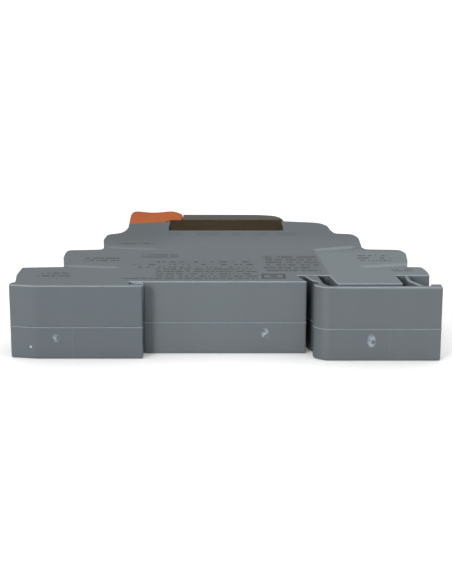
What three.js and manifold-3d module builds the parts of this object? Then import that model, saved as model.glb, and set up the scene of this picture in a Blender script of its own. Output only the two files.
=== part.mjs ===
// Slim plug-in relay module for a 35 mm mounting rail, lying on its side, in millimetres.
// +X runs from the coil terminals to the contact terminals, +Y from the rail foot to the lever's grip,
// and +Z through the module's thin width. While it is drawn, Y = 0 is the front face of the rail latch;
// the finished group is moved so that the middle of its base is the origin.

import * as THREE from "three";
import { mergeVertices } from "three/addons/utils/BufferGeometryUtils.js";
import Module from "manifold-3d";

const wasm = await Module();
wasm.setup();

// ---------------------------------------------------------------- driving dimensions

const WIDTH = 14; // module width, along Z
const MID_Z = WIDTH / 2;
const SPLIT_Z = 6.1; // plane where the two housing shells meet
const SIDE_WALL = 1.2; // thickness of each side wall
const POLE_PLATE_TOP = 7.6; // top of the plate that keeps the two poles apart
const HEIGHT = 91.3; // latch face to the highest point of the lever

const HOOK_Y = 1.3; // front face of the fixed rail hook
const SEAT_Y = 4.9; // face that rests on the rail flanges
const RAIL_EDGE_X = -17.8; // where the fixed hook stops the 35 mm rail
const SLOT_Y = 5.05; // inner face of the hook's slot, set back so that the flange lies on the seat
const FOOT_SLOT_Y = 10.4; // depth of the space behind the latch

const POLE_Z = [3.45, 10.55]; // the two contact poles, side by side
const LEVEL = { dx: 1.5, dz: 2.1, drop: 5.1, rise: 4.2, top: 1.6, floor: 1.0 }; // clamp cage, from its busbar
const CAGE_SIDE = 0.7;
const BUS_THICK = 0.8;
const BUS_HALF_WIDTH = 1.3;
const STRIP_HALF_WIDTH = 0.8;
const SCREW = { shank: 1.0, head: 1.5, headLength: 1.6, slot: 0.5, slotDepth: 0.7 };
const SCREW_HOLE = 1.8;
const THREAD_HOLE = 1.1;
const WIRE_HOLE = 1.8;
const WIRE_FUNNEL = 2.3;

// Terminals: name, screw axis, underside of the busbar, side the wire enters from, outer wall, Z positions.
const TERMINALS = [
  { name: "coil_low", x: -35.6, bus: 8.2, side: -1, wall: -39.6, z: [MID_Z] },
  { name: "coil_high", x: -29.3, bus: 26.0, side: -1, wall: -32.8, z: [MID_Z] },
  { name: "low", x: 33.6, bus: 26.0, side: 1, wall: 37.0, z: POLE_Z },
  { name: "middle", x: 26.75, bus: 44.2, side: 1, wall: 29.4, z: POLE_Z },
  { name: "high", x: 19.3, bus: 60.2, side: 1, wall: 24.3, z: POLE_Z },
];

const RELAY = { x0: -13.8, x1: 14.3, y0: 61.0, y1: 76.7, z0: 0.65, z1: 13.35 };
const COVER_WALL = 0.8;
const BASE_TOP = 62.4;
const PIN_TIP = 56.6;
const PIN_HALF_X = 0.25;
const PIN_HALF_Z = 0.5;
const COIL_PIN_X = -10.8;
const CLOSE_PIN_X = 2.0; // pin of the contact that closes
const COMMON_PIN_X = 7.1;
const BREAK_PIN_X = 12.2; // pin of the contact that opens
const COIL_Y = 69.0;
const CONTACT_Y = 72.0; // height of the contact rivets

const DECK_Y = 60.9; // top of the deck the relay stands on
const FLANK = { x0: -13.0, x1: 13.3, y: 58.2 }; // gap in the side walls where the relay's flanks are bare
const PIVOT = { x: -18.6, y: 62.0, r: 1.2, clearance: 0.08 };
const BOARD = { x0: -24.4, x1: -2.0, y0: 13.0, y1: 51.0, z0: 9.0, z1: 10.0 };

// Outer side view of the housing: [x, y, corner radius].
const HOUSING_OUTLINE = [
  [-39.8, 2.3, 0.3],
  [-35.0, HOOK_Y, 0.3],
  [-15.2, HOOK_Y, 0.3],
  [-15.2, 3.0, 0.2],
  [RAIL_EDGE_X, 2.7, 0],
  [RAIL_EDGE_X, SLOT_Y, 0],
  [-15.1, SLOT_Y, 0],
  [-15.1, SEAT_Y, 0],
  [15.3, SEAT_Y, 0],
  [13.8, FOOT_SLOT_Y, 0],
  [19.8, FOOT_SLOT_Y, 0],
  [20.7, 3.0, 0.4],
  [33.1, 3.0, 0.3],
  [32.6, FOOT_SLOT_Y, 0],
  [39.1, FOOT_SLOT_Y, 0.3],
  [39.2, 11.6, 0.3],
  [39.2, 14.2, 0.8],
  [38.8, 18.0, 0.9],
  [36.5, 18.3, 0.4],
  [37.3, 27.0, 0],
  [37.7, 35.5, 2.4],
  [30.0, 36.2, 0.7],
  [29.4, 38.3, 0],
  [29.4, 53.6, 2.8],
  [24.9, 54.8, 0.7],
  [24.2, 58.8, 0],
  [23.0, 68.6, 2.2],
  [FLANK.x1, 71.2, 0.4],
  [FLANK.x1, DECK_Y, 0],
  [FLANK.x0, DECK_Y, 0],
  [FLANK.x0, 70.6, 0.4],
  [-23.1, 67.4, 0.6],
  [-22.8, 62.8, 0],
  [-23.0, 58.2, 2.0],
  [-23.8, 55.2, 1.5],
  [-26.2, 53.0, 1.0],
  [-26.9, 47.0, 0],
  [-25.9, 38.0, 0],
  [-26.2, 36.0, 0.6],
  [-33.2, 35.2, 1.1],
  [-33.4, 32.0, 0],
  [-33.2, 28.0, 0],
  [-31.8, 18.3, 0.5],
  [-40.0, 17.6, 0.6],
  [-40.0, 11.0, 0],
  [-39.2, 4.8, 0.2],
  [-39.9, 3.8, 0.2],
];

// Inside of the housing, the same way round.
const HOUSING_CAVITY = [
  [-38.4, 2.7],
  [-19.4, 2.7],
  [-19.4, 6.4],
  [12.9, 6.4],
  [11.5, 11.9],
  [21.2, 11.9],
  [22.1, 4.4],
  [31.7, 4.4],
  [31.1, 11.9],
  [37.6, 11.9],
  [36.8, 16.7],
  [35.0, 16.9],
  [35.9, 27.0],
  [36.2, 34.4],
  [28.6, 35.0],
  [28.5, 52.4],
  [23.7, 53.6],
  [22.9, 58.6],
  [21.9, 67.4],
  [16.8, 69.0],
  [16.8, 59.4],
  [-13.9, 59.4],
  [-13.9, 57.2],
  [-22.0, 57.2],
  [-22.9, 54.2],
  [-25.0, 52.0],
  [-25.6, 47.0],
  [-24.7, 38.2],
  [-24.9, 34.8],
  [-31.9, 34.0],
  [-31.9, 28.0],
  [-30.9, 20.0],
  [-30.6, 16.6],
  [-38.4, 16.4],
  [-38.6, 11.0],
  [-38.2, 5.0],
];

// Shallow steps moulded in both side faces below the terminals.
const FACE_STEPS = [
  [[-31.6, 17.6], [-20.6, 16.9], [-20.6, 18.4], [-31.9, 18.9]],
  [[-26.2, 35.0], [-15.2, 34.4], [-15.2, 35.8], [-26.1, 36.3]],
  [[19.4, 34.4], [26.6, 34.8], [26.6, 36.2], [19.4, 35.8]],
  [[27.2, 18.0], [37.2, 19.4], [37.3, 21.2], [27.2, 19.5]],
];
const FACE_STEP_DEPTH = 0.25;
const MOST_ROUNDING = 0.48; // share of an edge that one corner may take

// ---------------------------------------------------------------- materials

function plastic(color, roughness) {
  return new THREE.MeshStandardMaterial({ color, roughness, metalness: 0 });
}

function metal(color, roughness) {
  return new THREE.MeshStandardMaterial({ color, roughness, metalness: 1 });
}

const GREY = 0x737b80;
const ORANGE = 0xc8622c;
const BROWN = 0x3e3022;
const CREAM = 0xd9d4c4;
const STEEL = 0xb4b6b8;
const COPPER = 0xb87348;
const TIN = 0xc4c4c0;

// ---------------------------------------------------------------- solids

function solid(geometry) {
  geometry.deleteAttribute("normal");
  geometry.deleteAttribute("uv");
  const merged = mergeVertices(geometry, 1e-4);
  return new wasm.Manifold(
    new wasm.Mesh({
      numProp: 3,
      vertProperties: merged.attributes.position.array,
      triVerts: new Uint32Array(merged.index.array),
    }),
  );
}

// A closed outline whose corners [x, y, radius] are rounded where a radius is given.
function outlineShape(points) {
  const shape = new THREE.Shape();
  points.forEach(([x, y, radius = 0], i) => {
    const corner = new THREE.Vector2(x, y);
    const before = new THREE.Vector2(...points[(i + points.length - 1) % points.length]);
    const after = new THREE.Vector2(...points[(i + 1) % points.length]);
    const toBefore = before.sub(corner);
    const toAfter = after.sub(corner);
    const reach = Math.min(radius, MOST_ROUNDING * toBefore.length(), MOST_ROUNDING * toAfter.length());
    const start = corner.clone().add(toBefore.setLength(reach));
    const end = corner.clone().add(toAfter.setLength(reach));
    if (i === 0) shape.moveTo(start.x, start.y);
    else shape.lineTo(start.x, start.y);
    if (radius > 0) shape.quadraticCurveTo(x, y, end.x, end.y);
  });
  shape.closePath();
  return shape;
}

// A prism on an XY outline, from z0 to z1.
function prism(points, z0, z1) {
  const geometry = new THREE.ExtrudeGeometry(outlineShape(points), {
    depth: z1 - z0,
    bevelEnabled: false,
    curveSegments: 4,
  });
  geometry.translate(0, 0, z0);
  return solid(geometry);
}

function box(x0, x1, y0, y1, z0, z1) {
  const geometry = new THREE.BoxGeometry(x1 - x0, y1 - y0, z1 - z0);
  geometry.translate((x0 + x1) / 2, (y0 + y1) / 2, (z0 + z1) / 2);
  return solid(geometry);
}

function rodAlongX(x0, x1, y, z, r0, r1 = r0, sides = 16) {
  const geometry = new THREE.CylinderGeometry(r1, r0, x1 - x0, sides);
  geometry.rotateZ(-Math.PI / 2);
  geometry.translate((x0 + x1) / 2, y, z);
  return solid(geometry);
}

function rodAlongY(x, y0, y1, z, radius, sides = 16) {
  const geometry = new THREE.CylinderGeometry(radius, radius, y1 - y0, sides);
  geometry.translate(x, (y0 + y1) / 2, z);
  return solid(geometry);
}

function rodAlongZ(x, y, z0, z1, radius, sides = 20) {
  const geometry = new THREE.CylinderGeometry(radius, radius, z1 - z0, sides);
  geometry.rotateX(Math.PI / 2);
  geometry.translate(x, y, (z0 + z1) / 2);
  return solid(geometry);
}

function union(pieces) {
  return pieces.reduce((whole, piece) => whole.add(piece));
}

function cut(whole, tools) {
  return tools.reduce((rest, tool) => rest.subtract(tool), whole);
}

const part = new THREE.Group();

function addNode(name, shape, material) {
  const mesh = shape.getMesh();
  const geometry = new THREE.BufferGeometry();
  geometry.setAttribute("position", new THREE.BufferAttribute(mesh.vertProperties, 3));
  geometry.setIndex(new THREE.BufferAttribute(mesh.triVerts, 1));
  geometry.computeVertexNormals();
  const node = new THREE.Mesh(geometry, material);
  node.name = name;
  part.add(node);
}

// ---------------------------------------------------------------- housing

// Screwdriver hole above and wire entry beside one terminal.
function terminalOpenings(terminal, z) {
  const wireY = terminal.bus - 2.1;
  const outer = terminal.wall + terminal.side * 1.6;
  const inner = terminal.x + terminal.side * LEVEL.dx;
  const mouth = terminal.wall - terminal.side * 0.5;
  const driver = rodAlongY(terminal.x, terminal.bus + 6.0, terminal.bus + 14, z, SCREW_HOLE);
  const wire = rodAlongX(Math.min(outer, inner), Math.max(outer, inner), wireY, z, WIRE_HOLE);
  const funnel =
    terminal.side > 0
      ? rodAlongX(mouth, outer, wireY, z, WIRE_HOLE, WIRE_FUNNEL)
      : rodAlongX(outer, mouth, wireY, z, WIRE_FUNNEL, WIRE_HOLE);
  return [driver, wire, funnel];
}

// Everything removed from the whole housing before it is split into shells.
function housingOpenings() {
  const tools = TERMINALS.flatMap((t) => t.z.flatMap((z) => terminalOpenings(t, z)));

  // Well between the two cheeks of the lever, its pivot holes, and the slot for its ejector toe.
  tools.push(box(-24.5, -13.9, 58.5, 76.0, 1.4, 12.6));
  tools.push(rodAlongZ(PIVOT.x, PIVOT.y, 0.5, 13.5, PIVOT.r + PIVOT.clearance));
  tools.push(box(-14.2, -11.2, 59.0, 61.0, 4.7, 9.3));

  // The side walls stop below the relay, so its flanks are bare, and grip it at both ends.
  tools.push(box(FLANK.x0, FLANK.x1, FLANK.y, 61.2, -1, RELAY.z0));
  tools.push(box(FLANK.x0, FLANK.x1, FLANK.y, 61.2, RELAY.z1, WIDTH + 1));
  tools.push(box(-14.1, FLANK.x0 + 0.1, DECK_Y, 75.0, RELAY.z0 - 0.05, RELAY.z1 + 0.05));
  tools.push(box(FLANK.x1 - 0.1, RELAY.x1 + 0.2, DECK_Y, 75.0, RELAY.z0 - 0.05, RELAY.z1 + 0.05));

  // Slots in the deck for the relay pins.
  const pins = [COIL_PIN_X, CLOSE_PIN_X, COMMON_PIN_X, BREAK_PIN_X];
  for (const x of pins) {
    for (const z of POLE_Z) tools.push(box(x - 0.5, x + 0.5, 59.0, 61.5, z - 0.8, z + 0.8));
  }

  // Window for the light guide, and the slot the latch tongue runs in.
  tools.push(rodAlongY(-24.4, 50.0, 56.0, MID_Z, 0.8));
  tools.push(box(21.8, 32.4, 2.5, 5.5, 4.8, 9.2));

  for (const points of FACE_STEPS) {
    tools.push(prism(points, WIDTH - FACE_STEP_DEPTH, WIDTH + 1));
    tools.push(prism(points, -1, FACE_STEP_DEPTH));
  }

  // Gate marks on the front faces.
  tools.push(rodAlongY(-31.4, HOOK_Y - 1, HOOK_Y + 0.15, 4.0, 0.65, 12));
  tools.push(rodAlongY(7.5, SEAT_Y - 1, SEAT_Y + 0.15, 4.0, 0.65, 12));
  return tools;
}

function addHousing() {
  const grey = plastic(GREY, 0.55);
  const tools = housingOpenings();

  const lowerHollow = prism(HOUSING_CAVITY, SIDE_WALL, SPLIT_Z + 1);
  const lower = cut(prism(HOUSING_OUTLINE, 0, SPLIT_Z), [lowerHollow, ...tools]);
  addNode("housing_lower", lower, grey);

  // The upper shell also carries the plate between the two poles, on the contact side only.
  const upperHollow = prism(HOUSING_CAVITY, SPLIT_Z - 1, WIDTH - SIDE_WALL);
  const plate = box(0.0, 38.0, 12.5, 52.0, SPLIT_Z, POLE_PLATE_TOP);
  const hollow = upperHollow.subtract(plate);
  const upper = cut(prism(HOUSING_OUTLINE, SPLIT_Z, WIDTH), [hollow, ...tools]);
  addNode("housing_upper", upper, grey.clone());
}

// ---------------------------------------------------------------- rail latch

function addLatch() {
  const front = [
    [16.3, 3.1, 0],
    [16.3, 2.6, 0],
    [18.9, 0, 0.6],
    [39.9, 0, 0.4],
    [40.0, 2.7, 0.3],
    [38.7, 2.7, 0.3],
    [38.3, 1.3, 0.2],
    [36.9, 1.3, 0.2],
    [34.95, 6.0, 0.5],
    [34.95, 10.2, 0],
    [34.1, 10.2, 0],
    [34.1, 5.8, 0.5],
    [35.8, 1.3, 0.3],
    [19.2, 1.3, 0.5],
    [18.4, 3.0, 0.6],
    [18.2, 5.2, 0.6],
    [17.7, 10.2, 0],
    [15.0, 10.2, 0],
    [16.3, 6.0, 0],
    [17.35, 5.2, 0],
    [17.35, 3.1, 0],
  ];
  const tongue = box(22.2, 29.4, 1.0, 7.0, 5.0, 9.0);
  const head = box(22.4, 29.3, 5.6, 7.0, 3.4, 10.6);
  const body = union([prism(front, 0, WIDTH), tongue, head]);
  const gate = rodAlongY(27.1, -1, 0.15, 4.0, 0.65, 12);
  addNode("foot_latch", body.subtract(gate), plastic(GREY, 0.55));
}

// ---------------------------------------------------------------- terminals

function addTerminal(terminal, z, suffix) {
  const { x, bus } = terminal;
  const zinc = metal(STEEL, 0.35);

  // Clamp cage: a square frame the wire and the busbar both pass through.
  const frame = box(
    x - LEVEL.dx, x + LEVEL.dx,
    bus - LEVEL.drop, bus + LEVEL.rise,
    z - LEVEL.dz, z + LEVEL.dz,
  );
  const window = box(
    x - 3, x + 3,
    bus - LEVEL.drop + LEVEL.floor, bus + LEVEL.rise - LEVEL.top,
    z - LEVEL.dz + CAGE_SIDE, z + LEVEL.dz - CAGE_SIDE,
  );
  const thread = rodAlongY(x, bus + 1, bus + 6, z, THREAD_HOLE, 12);
  addNode(`clamp_cage_${suffix}`, cut(frame, [window, thread]), zinc);

  // Slotted screw whose tip stands on the busbar.
  const tip = bus + BUS_THICK + 0.1;
  const headY = bus + 6.6;
  const shank = rodAlongY(x, tip, headY + 0.2, z, SCREW.shank, 12);
  const head = rodAlongY(x, headY, headY + SCREW.headLength, z, SCREW.head);
  const slotY = headY + SCREW.headLength - SCREW.slotDepth;
  const slot = box(x - 2, x + 2, slotY, slotY + 2, z - SCREW.slot / 2, z + SCREW.slot / 2);
  addNode(`clamp_screw_${suffix}`, shank.add(head).subtract(slot), metal(STEEL, 0.3));
}

function addTerminals() {
  for (const terminal of TERMINALS) {
    terminal.z.forEach((z, i) => {
      const pole = terminal.z.length > 1 ? `_${i + 1}` : "";
      addTerminal(terminal, z, terminal.name + pole);
    });
  }
}

// ---------------------------------------------------------------- current path

// Fork that grips one relay pin, standing on a bar at its foot.
function pinFork(x, z) {
  const z0 = z - STRIP_HALF_WIDTH;
  const z1 = z + STRIP_HALF_WIDTH;
  return [
    box(x - 0.85, x - 0.35, 54.5, 59.2, z0, z1),
    box(x + 0.35, x + 0.85, 54.5, 59.2, z0, z1),
    box(x - 0.85, x + 0.85, 54.1, 54.9, z0, z1),
  ];
}

function addContactBusbars() {
  const copper = () => metal(COPPER, 0.35);
  POLE_Z.forEach((z, i) => {
    const wide = [z - BUS_HALF_WIDTH, z + BUS_HALF_WIDTH];
    const slim = [z - STRIP_HALF_WIDTH, z + STRIP_HALF_WIDTH];

    const high = union([
      box(17.0, 20.9, 60.2, 61.0, ...wide),
      box(17.0, 17.6, 54.1, 60.6, ...slim),
      box(11.5, 17.6, 54.1, 54.9, ...slim),
      ...pinFork(BREAK_PIN_X, z),
    ]);
    addNode(`busbar_high_${i + 1}`, high, copper());

    const middle = union([
      box(24.0, 28.3, 44.2, 45.0, ...wide),
      box(6.8, 24.4, 44.2, 45.0, ...slim),
      box(6.8, 7.4, 44.2, 54.5, ...slim),
      ...pinFork(COMMON_PIN_X, z),
    ]);
    addNode(`busbar_middle_${i + 1}`, middle, copper());

    const low = union([
      box(31.0, 35.2, 26.0, 26.8, ...wide),
      box(1.7, 31.4, 26.0, 26.8, ...slim),
      box(1.7, 2.3, 26.0, 54.5, ...slim),
      ...pinFork(CLOSE_PIN_X, z),
    ]);
    addNode(`busbar_low_${i + 1}`, low, copper());
  });
}

// Coil side: two bars from the terminals to the board, and two forks from the board to the coil pins.
function addCoilPath() {
  const copper = () => metal(COPPER, 0.35);
  const touch = BOARD.z0 - 0.05;
  const wide = [MID_Z - BUS_HALF_WIDTH, MID_Z + BUS_HALF_WIDTH];

  const low = union([
    box(-37.2, -18.6, 8.2, 9.0, ...wide),
    box(-19.4, -18.6, 8.2, 17.0, 6.2, 7.8),
    box(-19.4, -18.6, 15.4, 17.0, 6.2, touch),
  ]);
  addNode("coil_bar_low", low, copper());

  const high = union([
    box(-31.0, -20.6, 26.0, 26.8, ...wide),
    box(-22.2, -20.6, 26.0, 26.8, 6.2, touch),
  ]);
  addNode("coil_bar_high", high, copper());

  const [nearZ, farZ] = POLE_Z;
  const near = union([
    ...pinFork(COIL_PIN_X, nearZ),
    box(-11.65, -9.95, 49.0, 54.5, nearZ - STRIP_HALF_WIDTH, nearZ - STRIP_HALF_WIDTH + 0.6),
    box(-11.65, -9.95, 49.0, 49.8, nearZ - STRIP_HALF_WIDTH, touch),
  ]);
  addNode("coil_fork_1", near, copper());

  const above = BOARD.z1 + 0.05;
  const far = union([
    ...pinFork(COIL_PIN_X, farZ),
    box(-11.65, -9.95, 47.4, 54.5, above, above + 0.6),
  ]);
  addNode("coil_fork_2", far, copper());
}

function addBoard() {
  addNode(
    "circuit_board",
    box(BOARD.x0, BOARD.x1, BOARD.y0, BOARD.y1, BOARD.z0, BOARD.z1),
    plastic(0x2f6b45, 0.5),
  );
  const seat = BOARD.z0 - 0.05;

  const led = box(-25.0, -23.7, 44.6, 46.6, 6.3, seat);
  addNode("status_led", led, plastic(0xe8d060, 0.25));

  const guide = union([
    rodAlongY(-24.4, 47.0, 54.0, MID_Z, 0.7, 12),
    rodAlongY(-24.4, 46.8, 48.0, MID_Z, 0.95, 12),
  ]);
  addNode("light_guide", guide, plastic(0xe6eef0, 0.1));

  const diode = union([
    rodAlongX(-17.0, -12.4, 31.0, 7.6, 1.3),
    rodAlongX(-19.0, -10.4, 31.0, 7.6, 0.3, 0.3, 8),
    box(-19.3, -18.7, 30.7, 31.3, 7.4, seat),
    box(-10.7, -10.1, 30.7, 31.3, 7.4, seat),
  ]);
  addNode("flyback_diode", diode, plastic(0x1f1f21, 0.4));

  const resistor = union([
    rodAlongX(-17.0, -12.0, 37.0, 7.6, 1.0),
    rodAlongX(-17.4, -15.8, 37.0, 7.6, 1.2),
    rodAlongX(-13.2, -11.6, 37.0, 7.6, 1.2),
    rodAlongX(-19.0, -10.0, 37.0, 7.6, 0.3, 0.3, 8),
    box(-19.3, -18.7, 36.7, 37.3, 7.4, seat),
    box(-10.3, -9.7, 36.7, 37.3, 7.4, seat),
  ]);
  addNode("series_resistor", resistor, plastic(0xc9b48c, 0.5));

  const bridge = prism(
    [[-17.5, 20.0, 0.4], [-11.5, 20.0, 0.4], [-11.5, 25.0, 0.4], [-16.4, 25.0, 0], [-17.5, 24.0, 0]],
    5.2,
    seat,
  );
  addNode("bridge_rectifier", bridge, plastic(0x242426, 0.45));
}

// ---------------------------------------------------------------- ejector lever

function addLever() {
  const arm = [
    [-20.9, 61.0, 1.2],
    [-18.4, 59.6, 1.5],
    [-16.6, 60.0, 0.4],
    [-14.4, 63.4, 1.2],
    [-14.5, 76.4, 0],
    [-23.3, 76.4, 0],
    [-22.9, 71.0, 0.8],
    [-21.2, 64.0, 1.5],
  ];
  const grip = [
    [-14.4, 77.2, 0],
    [-11.3, 77.2, 0.4],
    [-10.7, 79.0, 0.6],
    [-10.7, 86.6, 1.6],
    [-13.4, HEIGHT + 0.1, 1.6],
    [-18.0, 88.9, 2.2],
    [-22.7, HEIGHT + 0.6, 1.6],
    [-23.5, 86.0, 0],
    [-23.4, 70.4, 0.5],
    [-14.4, 73.2, 0.3],
  ];
  const toe = [
    [-17.6, 59.9, 0],
    [-12.2, 59.7, 0.4],
    [-11.5, 60.8, 0.2],
    [-14.2, 60.7, 0.3],
    [-16.0, 62.0, 0],
    [-17.6, 62.0, 0],
  ];
  const body = union([
    prism(arm, 1.7, 12.3),
    prism(grip, 0.9, 13.1),
    prism(toe, 5.0, 9.0),
    rodAlongZ(PIVOT.x, PIVOT.y, 0.7, 13.3, PIVOT.r),
  ]);
  addNode("ejector_lever", body, plastic(ORANGE, 0.45));
}

// ---------------------------------------------------------------- relay

function addRelayCase() {
  const { x0, x1, y0, y1, z0, z1 } = RELAY;
  const outer = box(x0, x1, y0 + 0.2, y1, z0, z1);
  const inner = box(
    x0 + COVER_WALL, x1 - COVER_WALL,
    y0 - 1, y1 - COVER_WALL,
    z0 + COVER_WALL, z1 - COVER_WALL,
  );
  addNode("relay_cover", outer.subtract(inner), plastic(BROWN, 0.2));

  const pins = [COIL_PIN_X, CLOSE_PIN_X, COMMON_PIN_X, BREAK_PIN_X];
  const gap = COVER_WALL + 0.05;
  const plate = box(x0 + gap, x1 - gap, y0, BASE_TOP, z0 + gap, z1 - gap);
  const holes = pins.flatMap((x) =>
    POLE_Z.map((z) => box(x - 0.3, x + 0.3, y0 - 1, BASE_TOP + 1, z - 0.55, z + 0.55)),
  );
  addNode("relay_base", cut(plate, holes), plastic(0x1d1b1a, 0.5));
}

function addCoil() {
  const ends = { left: -11.6, right: -2.6, flange: 0.8 };
  const flanges = [
    box(ends.left, ends.left + ends.flange, 63.4, 74.1, 1.9, 12.1),
    box(ends.right - ends.flange, ends.right, 63.4, 74.1, 1.9, 12.1),
  ];
  const barrel = rodAlongX(ends.left, ends.right, COIL_Y, MID_Z, 2.5);
  const bore = rodAlongX(ends.left - 1, ends.right + 1, COIL_Y, MID_Z, 2.05);
  addNode("coil_bobbin", union([...flanges, barrel]).subtract(bore), plastic(CREAM, 0.5));

  const span = [ends.left + ends.flange + 0.05, ends.right - ends.flange - 0.05];
  const copper = rodAlongX(...span, COIL_Y, MID_Z, 4.5, 4.5, 24);
  const middle = rodAlongX(span[0] - 1, span[1] + 1, COIL_Y, MID_Z, 2.6, 2.6, 24);
  addNode("coil_winding", copper.subtract(middle), metal(COPPER, 0.45));

  const core = union([
    rodAlongX(-12.7, -2.4, COIL_Y, MID_Z, 1.9),
    rodAlongX(-2.5, -1.95, COIL_Y, MID_Z, 2.8),
  ]);
  addNode("coil_core", core, metal(STEEL, 0.45));

  const yoke = union([
    box(-12.8, -11.8, 64.6, 75.3, 3.4, 10.6),
    box(-12.8, -1.5, 74.4, 75.3, 3.4, 10.6),
  ]);
  const rivet = rodAlongX(-13.5, -11.0, COIL_Y, MID_Z, 2.05);
  addNode("coil_yoke", yoke.subtract(rivet), metal(STEEL, 0.45));
}

function addArmature() {
  const leg = [
    [-1.4, 64.0],
    [-0.6, 64.0],
    [-0.6, 74.9],
    [-0.9, 75.3],
    [-1.4, 75.3],
  ];
  addNode("armature", prism(leg, 3.5, 10.5), metal(STEEL, 0.4));

  // Plastic card that carries the armature's movement to the contact springs.
  const card = union([
    box(-2.0, 0.2, 62.9, 63.7, 5.6, 8.4),
    box(-2.0, -1.55, 62.9, 64.8, 5.6, 8.4),
    box(-0.45, 0.2, 62.9, 64.8, 5.6, 8.4),
    box(-0.2, 0.45, 62.9, 70.6, 5.6, 8.4),
    box(-0.2, 8.05, 69.6, 70.6, 5.6, 8.4),
    box(7.35, 8.05, 69.6, 70.6, 2.4, 11.6),
  ]);
  addNode("contact_card", card, plastic(CREAM, 0.5));
}

// A pin with the stub or strip it carries above the base.
function pin(x, z, top) {
  return box(x - PIN_HALF_X, x + PIN_HALF_X, PIN_TIP, top, z - PIN_HALF_Z, z + PIN_HALF_Z);
}

function addContacts() {
  const brass = () => metal(0xc9a25a, 0.35);
  POLE_Z.forEach((z, i) => {
    const wide = [z - 1.4, z + 1.4];
    addNode(`coil_pin_${i + 1}`, pin(COIL_PIN_X, z, 63.2), metal(TIN, 0.3));
    addNode(`common_pin_${i + 1}`, pin(COMMON_PIN_X, z, 62.9), metal(TIN, 0.3));

    const spring = union([
      box(COMMON_PIN_X - 0.15, COMMON_PIN_X + 0.15, 63.0, 73.2, ...wide),
      rodAlongX(6.35, 7.85, CONTACT_Y, z, 0.9, 0.9, 12),
    ]);
    addNode(`contact_spring_${i + 1}`, spring, brass());

    const closing = union([
      pin(CLOSE_PIN_X, z, 63.1),
      box(1.75, 5.0, 62.6, 63.1, ...wide),
      box(4.6, 5.0, 62.6, 73.2, ...wide),
      rodAlongX(4.9, 5.75, CONTACT_Y, z, 0.9, 0.9, 12),
    ]);
    addNode(`fixed_contact_close_${i + 1}`, closing, brass());

    const breaking = union([
      pin(BREAK_PIN_X, z, 63.1),
      box(8.8, 12.45, 62.6, 63.1, ...wide),
      box(8.8, 9.2, 62.6, 73.2, ...wide),
      rodAlongX(7.95, 8.9, CONTACT_Y, z, 0.9, 0.9, 12),
    ]);
    addNode(`fixed_contact_break_${i + 1}`, breaking, brass());
  });
}

function addMarker() {
  const profile = [
    [-10.1, 76.8, 0],
    [14.1, 76.8, 0],
    [13.3, 78.8, 0.8],
    [11.2, 82.4, 1.6],
    [8.2, 84.1, 1.6],
    [-9.9, 84.2, 0.6],
  ];
  const inside = [
    [-9.0, 76.0],
    [12.6, 76.0],
    [12.2, 78.4],
    [10.4, 81.6],
    [8.0, 82.6],
    [-9.0, 82.6],
  ];
  const shell = prism(profile, 0.6, 13.4);
  const hollow = prism(inside, 1.6, 12.4);
  const field = box(-7.1, 7.1, 83.4, 85.0, 2.9, 11.1);
  addNode("marker_holder", cut(shell, [hollow, field]), plastic(GREY, 0.55));

  const strip = box(-7.0, 7.0, 83.45, 83.95, 3.0, 11.0);
  addNode("marker_strip", strip, plastic(0xe9e9e4, 0.5));
}

// ---------------------------------------------------------------- assembly

addHousing();
addLatch();
addTerminals();
addContactBusbars();
addCoilPath();
addBoard();
addLever();
addRelayCase();
addCoil();
addArmature();
addContacts();
addMarker();

// The origin is the middle of the module's base.
const extent = new THREE.Box3().setFromObject(part);
const middle = extent.getCenter(new THREE.Vector3());
part.position.set(-middle.x, -middle.y, -extent.min.z);

export default part;
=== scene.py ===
"""Looks of the slim plug-in relay module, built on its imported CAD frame.

Shapes are drawn in millimetres in the drawing frame of the part: Y = 0 is the front face of the rail
latch, X = 0 lies near the middle of the rail, and Z = 0 is the side face the module lies on. placed()
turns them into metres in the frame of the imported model.
"""

import math

import bmesh
import bpy
from mathutils import Euler, Matrix, Vector


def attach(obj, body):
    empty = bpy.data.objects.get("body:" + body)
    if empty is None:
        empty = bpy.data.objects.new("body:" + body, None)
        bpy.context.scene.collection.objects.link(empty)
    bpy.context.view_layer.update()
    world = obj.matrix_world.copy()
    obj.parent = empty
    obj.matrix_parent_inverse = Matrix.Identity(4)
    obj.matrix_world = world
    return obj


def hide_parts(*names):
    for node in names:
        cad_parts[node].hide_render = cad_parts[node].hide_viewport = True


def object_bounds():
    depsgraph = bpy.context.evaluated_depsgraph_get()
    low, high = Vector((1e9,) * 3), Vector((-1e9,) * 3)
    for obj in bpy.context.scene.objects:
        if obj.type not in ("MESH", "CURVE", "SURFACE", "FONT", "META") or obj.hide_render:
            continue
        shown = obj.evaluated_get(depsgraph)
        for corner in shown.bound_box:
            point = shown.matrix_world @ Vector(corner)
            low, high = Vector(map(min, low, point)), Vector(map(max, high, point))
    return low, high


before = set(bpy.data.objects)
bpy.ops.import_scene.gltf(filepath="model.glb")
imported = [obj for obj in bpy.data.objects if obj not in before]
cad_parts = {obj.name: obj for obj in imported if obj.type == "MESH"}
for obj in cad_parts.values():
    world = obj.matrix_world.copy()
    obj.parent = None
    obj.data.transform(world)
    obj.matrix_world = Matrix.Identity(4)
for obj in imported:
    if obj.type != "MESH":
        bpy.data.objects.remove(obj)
CAD_LOW, CAD_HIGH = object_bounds()

MM = 0.001
LEFT_EDGE = -40.0  # drawing X of the box's left side
SHIFT = Vector((CAD_LOW.x - LEFT_EDGE * MM, CAD_LOW.y, CAD_LOW.z))
TO_FRAME = Matrix.Translation(SHIFT) @ Matrix.Scale(MM, 4)

# ---------------------------------------------------------------- sizes, in millimetres

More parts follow.
